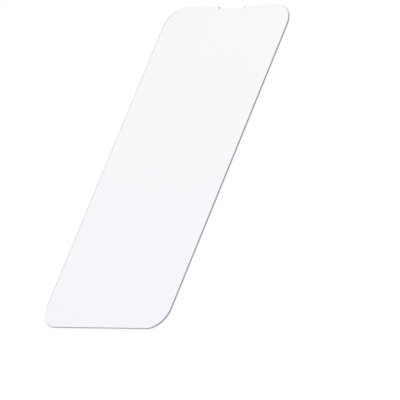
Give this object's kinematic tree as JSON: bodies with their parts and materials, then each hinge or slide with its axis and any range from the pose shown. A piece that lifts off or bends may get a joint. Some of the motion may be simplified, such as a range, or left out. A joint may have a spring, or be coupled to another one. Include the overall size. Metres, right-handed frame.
{
  "type": "phone screen protector",
  "caption": "Thin clear glass plate that covers a phone's screen, with rounded corners, a rounded front edge and a shallow earpiece notch in the top edge.",
  "frame": {"origin": "middle of the back face, the side that goes on the phone's screen, on the surface that the plate lies on", "axes": "+X across the plate, +Y along it towards the earpiece notch, +Z out of its front face"},
  "size_m": [0.0658, 0.142, 0.0005],
  "materials": {
    "clear_glass": "polished clear faces with a faint cool tint, and a finely ground edge"
  },
  "bodies": {
    "root": {"glass_plate": "clear_glass"}
  },
  "joints": []
}
